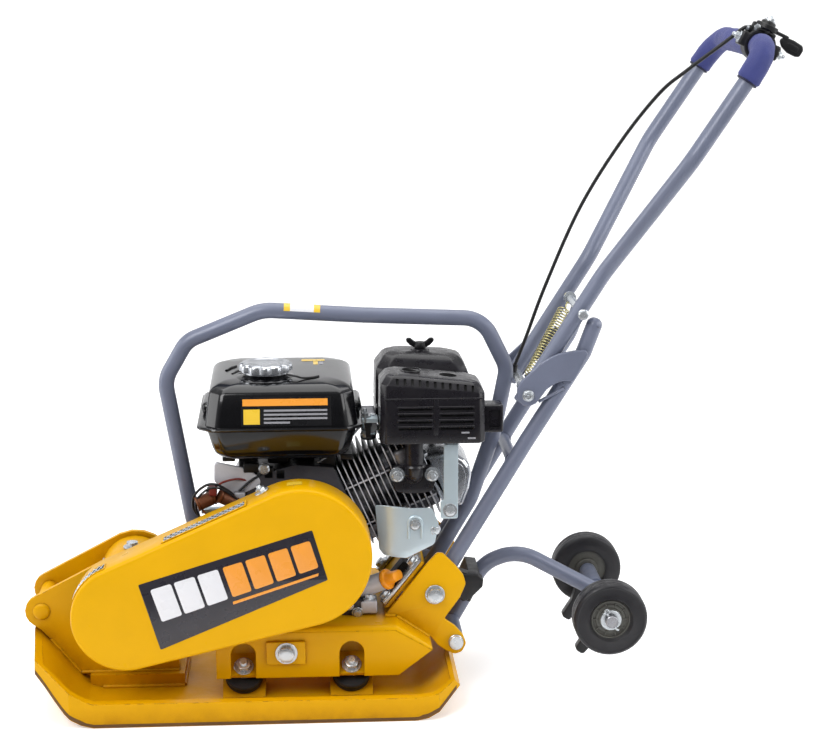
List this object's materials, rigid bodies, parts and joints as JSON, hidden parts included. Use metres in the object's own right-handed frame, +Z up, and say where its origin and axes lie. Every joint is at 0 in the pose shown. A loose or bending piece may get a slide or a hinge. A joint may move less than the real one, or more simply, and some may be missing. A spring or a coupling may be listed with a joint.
{
  "type": "plate compactor",
  "caption": "Vibrating plate compactor with sprung engine deck, belt-driven exciter, folding handle with throttle, and swing-down transport wheels.",
  "frame": {"origin": "centre of the base plate's flat sole, on the ground", "axes": "+X towards the operator's end, +Y away from the belt side, +Z up"},
  "size_m": [0.9675, 0.35, 0.8519],
  "materials": {
    "yellow_paint": "gloss paint",
    "grey_paint": "satin paint",
    "black_paint": "gloss paint",
    "satin_black": "satin heatproof paint",
    "dark_plastic": "matt",
    "aluminium": "cast",
    "zinc_plate": "zinc plated",
    "steel": "machined",
    "rubber": "matt",
    "tyre": "matt",
    "foam": "foam, matt",
    "gold_zinc": "yellow zinc",
    "orange_plastic": "satin",
    "cast_iron": "painted"
  },
  "bodies": {
    "base": {"base_plate": "yellow_paint", "left_exciter_cheek": "yellow_paint", "right_exciter_cheek": "yellow_paint", "front_tie_bar": "yellow_paint", "exciter_housing": "yellow_paint", "left_exciter_bearing": "steel", "right_exciter_bearing": "steel", "front_left_rubber_mount": "rubber", "front_right_rubber_mount": "rubber", "rear_left_rubber_mount": "rubber", "rear_right_rubber_mount": "rubber"},
    "exciter": {"eccentric_shaft": "steel", "exciter_pulley": "cast_iron"},
    "deck": {"engine_deck": "yellow_paint", "left_handle_bracket": "yellow_paint", "right_handle_bracket": "yellow_paint", "bracket_tie_plate": "yellow_paint", "handle_buffer": "rubber", "handle_pivot_bolt": "zinc_plate", "wheel_pivot_rod": "zinc_plate", "guard_frame": "grey_paint", "belt_guard": "yellow_paint", "drive_belt": "rubber", "crankcase": "aluminium", "cylinder_block": "aluminium", "cylinder_head": "aluminium", "valve_cover": "aluminium", "spark_plug": "dark_plastic", "blower_housing": "black_paint", "recoil_starter_cover": "black_paint", "fuel_tank": "black_paint", "carburettor": "zinc_plate", "air_cleaner_cover": "dark_plastic", "muffler": "satin_black", "muffler_shield": "satin_black", "exhaust_pipe": "satin_black", "cylinder_shroud": "zinc_plate", "muffler_strap": "zinc_plate"},
    "crank": {"crankshaft": "steel", "centrifugal_clutch": "cast_iron", "flywheel": "cast_iron"},
    "fuel_filler": {"fuel_cap": "zinc_plate"},
    "wing_nut": {"air_cleaner_wing_nut": "dark_plastic"},
    "oil_filler": {"oil_filler_cap": "orange_plastic"},
    "recoil": {"starter_grip": "dark_plastic"},
    "switch": {"engine_switch": "dark_plastic"},
    "choke": {"choke_lever": "dark_plastic"},
    "lower_frame": {"lower_handle": "grey_paint", "fold_pivot_bolt": "zinc_plate", "wheel_clip": "dark_plastic"},
    "upper_frame": {"upper_handle": "grey_paint", "handle_grip": "foam", "latch_bolt": "zinc_plate", "latch_spring": "gold_zinc", "throttle_clamp": "satin_black", "throttle_cable": "dark_plastic"},
    "throttle": {"throttle_lever": "satin_black"},
    "carriage": {"wheel_carriage": "grey_paint"},
    "wheel_left": {"left_wheel": "tyre"},
    "wheel_right": {"right_wheel": "tyre"}
  },
  "joints": [
    {"name": "deck_bounce", "type": "slide", "parent": "base", "child": "deck", "axis": [0, 0, 1], "range_m": [-0.004, 0.004], "stiffness_N_per_m": 200000, "deforming": ["front_left_rubber_mount", "front_right_rubber_mount", "rear_left_rubber_mount", "rear_right_rubber_mount", "drive_belt"]},
    {"name": "crank_spin", "type": "hinge", "parent": "deck", "child": "crank", "pos_m": [0.063, 0, 0.213], "axis": [0, 1, 0], "continuous": true},
    {"name": "exciter_spin", "type": "hinge", "parent": "base", "child": "exciter", "pos_m": [-0.15, 0, 0.136], "axis": [0, 1, 0], "continuous": true},
    {"name": "lower_handle_tilt", "type": "hinge", "parent": "deck", "child": "lower_frame", "pos_m": [0.236, 0, 0.133], "axis": [0, 1, 0], "range_deg": [-1, 0.5], "stiffness_Nm_per_rad": 200},
    {"name": "handle_fold", "type": "hinge", "parent": "lower_frame", "child": "upper_frame", "pos_m": [0.3523, 0, 0.3896], "axis": [0, 1, 0], "range_deg": [-40, 0]},
    {"name": "throttle_swing", "type": "hinge", "parent": "upper_frame", "child": "throttle", "pos_m": [0.626, -0.08, 0.82], "axis": [0.4226, 0, 0.9063], "range_deg": [-5, 40]},
    {"name": "wheel_swing", "type": "hinge", "parent": "deck", "child": "carriage", "pos_m": [0.263, 0, 0.069], "axis": [0, 1, 0], "range_deg": [0, 80]},
    {"name": "left_wheel_spin", "type": "hinge", "parent": "carriage", "child": "wheel_left", "pos_m": [0.457, -0.103, 0.105], "axis": [0, 1, 0], "continuous": true},
    {"name": "right_wheel_spin", "type": "hinge", "parent": "carriage", "child": "wheel_right", "pos_m": [0.457, 0.103, 0.105], "axis": [0, 1, 0], "continuous": true},
    {"name": "fuel_cap_turn", "type": "hinge", "parent": "deck", "child": "fuel_filler", "pos_m": [0.024, -0.04, 0.421], "axis": [0, 0, 1], "range_deg": [-90, 0]},
    {"name": "wing_nut_turn", "type": "hinge", "parent": "deck", "child": "wing_nut", "pos_m": [0.226, 0.06, 0.428], "axis": [0, 0, 1], "continuous": true},
    {"name": "oil_cap_turn", "type": "hinge", "parent": "deck", "child": "oil_filler", "pos_m": [0.1729, -0.074, 0.1501], "axis": [0.7646, -0.4723, 0.4385], "continuous": true},
    {"name": "starter_pull", "type": "slide", "parent": "deck", "child": "recoil", "axis": [0, 1, 0], "range_m": [0, 0.35]},
    {"name": "switch_toggle", "type": "hinge", "parent": "deck", "child": "switch", "pos_m": [-0.045, -0.043, 0.262], "axis": [0, 1, 0], "range_deg": [-25, 25]},
    {"name": "choke_turn", "type": "hinge", "parent": "deck", "child": "choke", "pos_m": [0.154, -0.04, 0.346], "axis": [0, 1, 0], "range_deg": [-5, 60]}
  ],
  "couplings": [
    {"joint": "exciter_spin", "follows": "crank_spin", "ratio": 0.89362}
  ]
}
